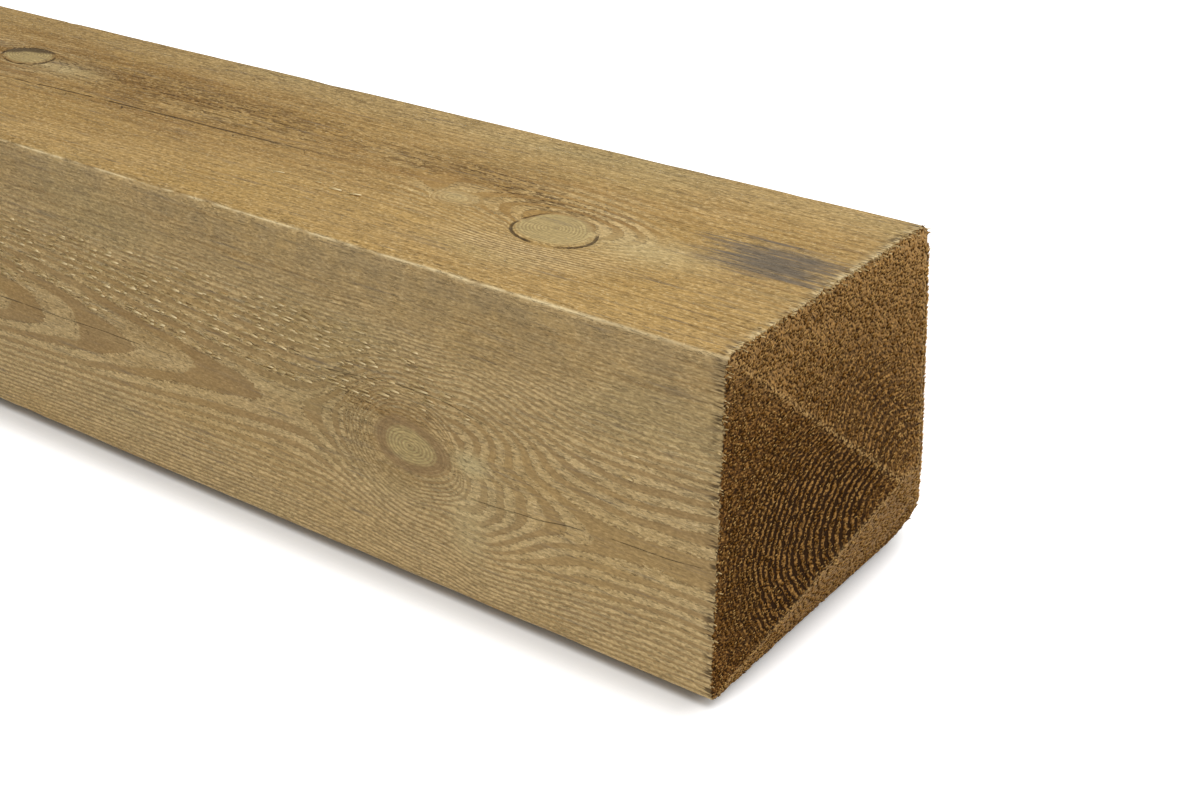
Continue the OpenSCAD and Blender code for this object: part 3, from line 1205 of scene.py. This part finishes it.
# End fibres: roots dark as painted shade, tips bright partly as painted highlights.
end_fibre_finish = fibre_finish("end_grain_fibre", root=(0.035, 0.013, 0.002),
                                dull_tip=(0.34, 0.15, 0.026), bright_tip=(0.95, 0.58, 0.20))
splinter_finish = fibre_finish("torn_splinter", root=(0.34, 0.23, 0.095),
                               dull_tip=(0.42, 0.29, 0.125), bright_tip=(0.78, 0.60, 0.31))
nap_finish = fibre_finish("lifted_fibre", root=(0.40, 0.285, 0.125),
                          dull_tip=(0.56, 0.42, 0.205), bright_tip=(0.88, 0.72, 0.42))
print("Three fibre finishes")

# %% [markdown]
# Thousands of fibres stand on the end grain. Particle hair could make them, but Geometry Nodes can read
# the numbers that the mesh carries. Points are spread over the beam's faces with a least distance
# between them, a small three-sided spike is placed on each, and the spike leans the way the saw dragged
# it. A few helpers read the mesh's numbers and draw random ones.

# %% Helpers for geometry trees
def named(tree, name):
    """A number that the mesh carries, read in a geometry tree."""
    return out(put(tree, "GeometryNodeInputNamedAttribute", {"Name": name}, data_type="FLOAT"))


def keep(tree, geometry, name, value, kind="FLOAT", domain="POINT"):
    """Stores a value on the geometry under a name."""
    feeds = {"Geometry": geometry, "Name": name, "Value": value}
    return out(put(tree, "GeometryNodeStoreNamedAttribute", feeds, data_type=kind, domain=domain))


def random(tree, lowest, highest, seed):
    """A random number for each point."""
    feeds = {2: lowest, 3: highest, "Seed": seed}
    return out(put(tree, "FunctionNodeRandomValue", feeds, data_type="FLOAT"), 1)


def jitter(tree, spread, seed):
    """A random direction, up to spread along each axis."""
    feeds = {0: (-spread, -spread, -spread), 1: (spread, spread, spread), "Seed": seed}
    return out(put(tree, "FunctionNodeRandomValue", feeds, data_type="FLOAT_VECTOR"))


def position(tree, axis):
    """The place of each point along one axis, in metres."""
    there = out(put(tree, "GeometryNodeInputPosition"))
    return out(put(tree, "ShaderNodeSeparateXYZ", {0: there}), axis)


print("Geometry trees can be built")

# %% [markdown]
# A fibre is a spike with three sides, which is enough for a thing less than a millimetre thick. It is
# turned at random about its own length, aimed along its lean with some spread, and made longer or
# shorter. Its map says which tone it has and how high up it each corner is.

# %% Shape and map of a fibre
def fibre_spike(tree, blunt):
    """A spike of unit size that knows the height and the place round it of its vertices."""
    feeds = {"Vertices": 3, "Side Segments": 1, "Radius Top": blunt, "Radius Bottom": 1.0, "Depth": 1.0}
    spike = out(put(tree, "GeometryNodeMeshCone", feeds, fill_type="NGON"))
    spike = keep(tree, spike, "fibre_height", position(tree, "Z"))
    return keep(tree, spike, "fibre_girth", line(position(tree, "X"), 0.5, 0.5))


def fibre_aim(tree, given, normal, spread, seed):
    """Turns a fibre along its lean and the face's own normal, with some spread."""
    heading = vectors("ADD", given["Lean"], vectors("MULTIPLY", normal, given["Out"]))
    heading = vectors("ADD", heading, jitter(tree, spread, seed + 1))
    spun = out(put(tree, "FunctionNodeAxisAngleToRotation", {"Angle": random(tree, 0.0, 6.28, seed + 2)}))
    feeds = {"Rotation": spun, "Vector": heading}
    return out(put(tree, "FunctionNodeAlignRotationToVector", feeds, axis="Z"))


def fibre_size(tree, given, seed):
    """Thickness and length, each a little random."""
    thick = given["Radius"] * random(tree, 0.65, 1.3, seed + 3)
    tall = given["Length"] * random(tree, 0.55, 1.4, seed + 4)
    return out(put(tree, "ShaderNodeCombineXYZ", {"X": thick, "Y": thick, "Z": tall}))


def fibre_map(tree, fibres):
    """Lays fibres out on the map, with tone and girth across it and height up it."""
    map_u = line(named(tree, "fibre_girth"), 0.04, line(named(tree, "fibre_tone"), 0.92, 0.02))
    map_v = line(named(tree, "fibre_height"), 0.94, 0.03)
    on_map = out(put(tree, "ShaderNodeCombineXYZ", {"X": map_u, "Y": map_v}))
    return keep(tree, fibres, "OFBake", on_map, "FLOAT2", "CORNER")


print("A fibre can be shaped")

# %% [markdown]
# One tree serves every kind of fibre, with its own sizes each time. One number says where on the mesh
# points may fall. That is only read at the mesh's corners, too coarse for rings, so a second number is
# read at each point, and a point stays when a random number is below it.

# %% Tree for fibres
fibre_inputs = {"Geometry": "Geometry", "Spacing": "Float", "Density": "Float", "Length": "Float",
                "Radius": "Float", "Blunt": "Float", "Sink": "Float", "Lean": "Vector", "Out": "Vector"}


def fibre_tree(name, finish, where, stays, tone_by, seed, spread):
    """Grows fibres on a mesh. where, stays and tone_by build numbers from the mesh's own attributes."""
    tree = bpy.data.node_groups.new(name, "GeometryNodeTree")
    for label, kind in fibre_inputs.items():
        tree.interface.new_socket(label, in_out="INPUT", socket_type="NodeSocket" + kind)
    tree.interface.new_socket("Geometry", in_out="OUTPUT", socket_type="NodeSocketGeometry")
    start = tree.nodes.new("NodeGroupInput")
    given = {label: out(start, label) for label in fibre_inputs}

    feeds = {"Mesh": given["Geometry"], "Distance Min": given["Spacing"], "Density Max": given["Density"],
             "Density Factor": where(tree), "Seed": seed}
    points = put(tree, "GeometryNodeDistributePointsOnFaces", feeds, distribute_method="POISSON")
    normal = out(points, "Normal")
    down = {0: normal, "Scale": given["Sink"] * -1.0}
    sunk = out(put(tree, "ShaderNodeVectorMath", down, operation="SCALE"))
    rooted = out(put(tree, "GeometryNodeSetPosition", {"Geometry": out(points, "Points"), "Offset": sunk}))
    stay = sums("LESS_THAN", random(tree, 0.0, 1.0, seed + 6), stays(tree))
    aim = fibre_aim(tree, given, normal, spread, seed)
    feeds = {"Points": rooted, "Selection": stay, "Instance": fibre_spike(tree, given["Blunt"]),
             "Rotation": aim, "Scale": fibre_size(tree, given, seed)}
    planted = out(put(tree, "GeometryNodeInstanceOnPoints", feeds))
    tone = tone_by(tree, random(tree, 0.0, 1.0, seed + 5))
    toned = keep(tree, planted, "fibre_tone", tone, domain="INSTANCE")
    real = out(put(tree, "GeometryNodeRealizeInstances", {"Geometry": toned}))
    feeds = {"Geometry": fibre_map(tree, real), "Material": finish}
    painted = out(put(tree, "GeometryNodeSetMaterial", feeds))
    feed(tree.nodes.new("NodeGroupOutput").inputs["Geometry"], painted)
    return tree


print("A tree takes", len(fibre_inputs), "inputs")

# %% [markdown]
# A modifier runs the tree on a stand-in that shares the beam's mesh. What it grew is kept as a plain mesh
# and the stand-in goes, so each kind of fibre is a piece of its own that any program can open.

# %% Pieces made of fibres
def grow_fibres(name, tree, **sizes):
    """Runs the tree on the beam's mesh and keeps what it grew as a plain mesh."""
    host = bpy.data.objects.new(name + "_host", beam_mesh)
    scene.collection.objects.link(host)
    made = host.modifiers.new(name, "NODES")
    made.node_group = tree
    sockets = {item.name: item.identifier for item in tree.interface.items_tree
               if item.item_type == "SOCKET" and item.in_out == "INPUT"}
    for label, value in sizes.items():
        made[sockets[label]] = value
    bpy.context.view_layer.update()
    ready = host.evaluated_get(bpy.context.evaluated_depsgraph_get())
    mesh = bpy.data.meshes.new_from_object(ready)
    host.modifiers.remove(made)
    bpy.data.objects.remove(host)
    mesh.name = name
    piece = bpy.data.objects.new(name, mesh)
    scene.collection.objects.link(piece)
    mesh.calc_loop_triangles()
    print(name, "has", len(mesh.loop_triangles), "triangles")
    return piece


print("Fibres can be grown")

# %% [markdown]
# End-grain fibres stand on the four cuts and, shorter and fewer, on the foot. The soft early wood tears
# out deeper than the late wood, so the fibres thin out in each ring's early part, and the rings show as
# rows of tufts with dark grooves between them.

# %% End-grain fibres
def season_of(tree):
    """The part of the year, from 0 to 1, at each point."""
    return sums("FRACT", named(tree, "ring_age"))


def ring_rows(tree):
    """1 in each ring's row, low in its groove and between clumps. The grooves fade out far from the pith."""
    off_groove = ease(abs(season_of(tree) - 0.25), 0.28, 0.4)
    ring_row = sums("MAXIMUM", off_groove, ease(named(tree, "ring_age"), 17.0, 29.0) * 0.8)
    off_hip = line(named(tree, "hip"), -0.6, 1.0) * ease(named(tree, "painted_end_light"), 1.15, 0.8)
    there = out(put(tree, "GeometryNodeInputPosition"))
    clump = ease(noise_on(there, (0.003, 0.0022, 0.0035), 1.0), 0.36, 0.52)
    return ring_row * off_hip * line(clump, 0.7, 0.3)


def on_head(tree):
    """1 by the weathered end."""
    return ease(position(tree, "X"), 0.5, 0.6)


def on_cuts(tree):
    """1 past the edge of the weathered end."""
    return on_head(tree) * ease(named(tree, "end_depth"), 1.0, 3.0)


def on_foot(tree):
    """1 on the foot."""
    return ease(position(tree, "X"), -0.8, -0.85) * ease(named(tree, "end_depth"), 0.2, 1.6)


def end_tone(tree, chance):
    """Mostly dull fibres, brighter along the hips and on the cuts with more painted light, with a few pale
    ones.
    """
    tone = line(named(tree, "hip"), 0.45, sums("POWER", chance, 1.8))
    return line(named(tree, "painted_end_light"), 0.35, tone, clamp=True)


cut_tree = fibre_tree("end_fibre_tree", end_fibre_finish, on_cuts, ring_rows, end_tone, 21, 0.2)
cut_fibres = grow_fibres("end_fibres", cut_tree, Spacing=0.8 * MM, Density=2.0e6, Length=2.0 * MM,
                         Radius=0.5 * MM, Blunt=0.0, Sink=0.2 * MM, Lean=(0.12, 0.1, 0.75),
                         Out=(0.45, 0.45, 0.45))
foot_tree = fibre_tree("foot_fibre_tree", end_fibre_finish, on_foot, ring_rows, end_tone, 57, 0.4)
foot_fibres = grow_fibres("foot_fibres", foot_tree, Spacing=1.1 * MM, Density=0.8e6, Length=0.8 * MM,
                          Radius=0.42 * MM, Blunt=0.45, Sink=0.2 * MM, Lean=(-0.7, 0.2, 0.5),
                          Out=(0.3, 0.3, 0.3))

# %% [markdown]
# Where the saw left each face it broke out splinters that still hang over the cut, pale against the dark
# end grain. They come from a narrow band along the torn edge. Along the sawn faces, shorter fibres were
# lifted where one year's wood breaks from the next, and they lie almost flat along the grain.

# %% Splinters and lifted fibres
def along_edge(tree):
    """1 in a narrow band at the torn edge of the weathered end, and most on its top."""
    depth = named(tree, "end_depth")
    band = ease(depth, -3.2, -1.6) * ease(depth, 0.8, 0.0)
    height = position(tree, "Z")
    more = line(ease(height, 0.140, 0.149), 0.65, 0.27) * ease(height, 0.002, 0.012)
    return on_head(tree) * band * more


def along_grain(tree):
    """The mesh's own lift where it is strong, away from the knots and the ends."""
    lift = named(tree, "lift") * ease(named(tree, "lift"), 0.3, 0.6)
    return lift * ease(named(tree, "knot_reach"), 1.2, 1.9) * ease(named(tree, "end_depth"), -8.5, -12.0)


def year_break(tree):
    """1 where a year breaks from the next."""
    return line(ease(abs(season_of(tree) - 0.15), 0.22, 0.1), 0.95, 0.05)


def everywhere(tree):
    """All points stay."""
    return 1.0


def plain_tone(tree, chance):
    """Any tone alike."""
    return chance


edge_tree = fibre_tree("splinter_tree", splinter_finish, along_edge, everywhere, plain_tone, 83, 0.3)
splinters = grow_fibres("torn_splinters", edge_tree, Spacing=0.8 * MM, Density=0.7e6, Length=2.0 * MM,
                        Radius=0.42 * MM, Blunt=0.3, Sink=0.3 * MM, Lean=(1.0, 0.0, 0.0),
                        Out=(0.15, 0.15, 0.15))
grain_tree = fibre_tree("lifted_fibre_tree", nap_finish, along_grain, year_break, plain_tone, 131, 0.06)
lifted = grow_fibres("lifted_fibres", grain_tree, Spacing=1.6 * MM, Density=0.25e6, Length=5.4 * MM,
                     Radius=0.75 * MM, Blunt=0.4, Sink=0.1 * MM, Lean=(1.0, 0.0, 0.0),
                     Out=(0.1, 0.1, 0.1))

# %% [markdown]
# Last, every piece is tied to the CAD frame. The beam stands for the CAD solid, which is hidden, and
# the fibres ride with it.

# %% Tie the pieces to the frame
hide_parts("beam")
for piece in (beam, cut_fibres, foot_fibres, splinters, lifted):
    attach(piece, "root")
